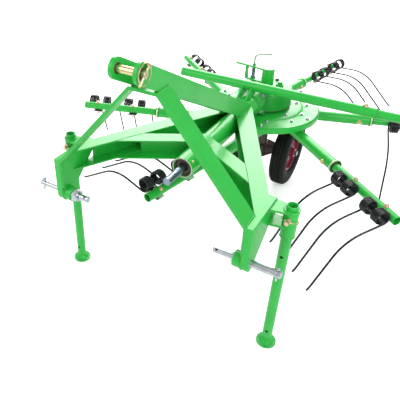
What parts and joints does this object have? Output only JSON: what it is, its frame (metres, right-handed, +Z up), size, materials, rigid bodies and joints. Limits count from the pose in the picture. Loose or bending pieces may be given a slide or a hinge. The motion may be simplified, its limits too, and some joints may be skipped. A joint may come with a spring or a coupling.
{
  "type": "mounted single-rotor rotary hay rake",
  "caption": "Mounted rotary hay rake: a tined rotor on two small wheels behind a three-point headstock, parked on two stand legs, with a swath boom.",
  "frame": {"origin": "centre of the machine's bounding box, on the ground", "axes": "+Z up, -Y forward to the tractor, +X along the boom towards the swath curtain"},
  "size_m": [2.1598, 2.3113, 1.197],
  "materials": {
    "paint_green": "gloss",
    "tyre": "matt rubber",
    "rim_red": "gloss",
    "spring_black": "satin black",
    "bare_steel": "machined",
    "zinc": "bright zinc plated",
    "zinc_yellow": "yellow zinc plated",
    "dark_steel": "dark, greased",
    "curtain_cloth": "coated cloth"
  },
  "bodies": {
    "frame": {"axle": "bare_steel", "beam_left": "paint_green", "beam_right": "paint_green", "boom_saddle": "paint_green", "boom_tube": "paint_green", "brace_left": "paint_green", "brace_right": "paint_green", "centre_column": "dark_steel", "cheek_left": "paint_green", "cheek_right": "paint_green", "driveline_tube": "paint_green", "gearbox": "paint_green", "gearbox_neck": "paint_green", "height_crank": "zinc", "hitch_bow": "paint_green", "lower_pin_left": "zinc", "lower_pin_right": "zinc", "mast": "paint_green", "sleeve_pin_left": "zinc", "sleeve_pin_right": "zinc", "stand_sleeve_left": "paint_green", "stand_sleeve_right": "paint_green", "top_link_pin": "zinc_yellow", "top_link_plate_left": "paint_green", "top_link_plate_right": "paint_green"},
    "rotor": {"arm_sleeve_1": "paint_green", "arm_sleeve_2": "paint_green", "arm_sleeve_3": "paint_green", "arm_sleeve_4": "paint_green", "arm_sleeve_5": "paint_green", "arm_sleeve_6": "paint_green", "rotor_disc": "paint_green", "rotor_dish": "paint_green", "rotor_hub": "paint_green", "tine_arm_1": "paint_green", "tine_arm_2": "paint_green", "tine_arm_3": "paint_green", "tine_arm_4": "paint_green", "tine_arm_5": "paint_green", "tine_arm_6": "paint_green", "tines_1": "spring_black", "tines_2": "spring_black", "tines_3": "spring_black", "tines_4": "spring_black", "tines_5": "spring_black", "tines_6": "spring_black"},
    "wheel_left": {"wheel_rim_left": "rim_red", "tyre_left": "tyre"},
    "wheel_right": {"wheel_rim_right": "rim_red", "tyre_right": "tyre"},
    "power_shaft_body": {"power_shaft": "bare_steel"},
    "stand_left": {"stand_leg_left": "paint_green"},
    "stand_right": {"stand_leg_right": "paint_green"},
    "boom_slide_body": {"boom_inner_tube": "paint_green", "curtain_hanger": "paint_green", "curtain_bar": "paint_green", "curtain": "curtain_cloth"}
  },
  "joints": [
    {"name": "rotor_spin", "type": "hinge", "parent": "frame", "child": "rotor", "pos_m": [-0.07956, 0.16335, 0.48], "axis": [0, 0, 1], "continuous": true},
    {"name": "power_shaft_spin", "type": "hinge", "parent": "frame", "child": "power_shaft_body", "pos_m": [-0.07956, -0.75065, 0.63], "axis": [0, 1, 0], "continuous": true},
    {"name": "wheel_left_spin", "type": "hinge", "parent": "frame", "child": "wheel_left", "pos_m": [-0.19756, 0.36335, 0.2], "axis": [1, 0, 0], "continuous": true},
    {"name": "wheel_right_spin", "type": "hinge", "parent": "frame", "child": "wheel_right", "pos_m": [0.03844, 0.36335, 0.2], "axis": [1, 0, 0], "continuous": true},
    {"name": "stand_left_lift", "type": "slide", "parent": "frame", "child": "stand_left", "axis": [0, 0, 1], "range_m": [0, 0.36]},
    {"name": "stand_right_lift", "type": "slide", "parent": "frame", "child": "stand_right", "axis": [0, 0, 1], "range_m": [0, 0.36]},
    {"name": "boom_extend", "type": "slide", "parent": "frame", "child": "boom_slide_body", "axis": [1, 0, 0], "range_m": [-0.04, 0.16]}
  ],
  "couplings": [
    {"joint": "power_shaft_spin", "follows": "rotor_spin", "ratio": 6.6}
  ]
}
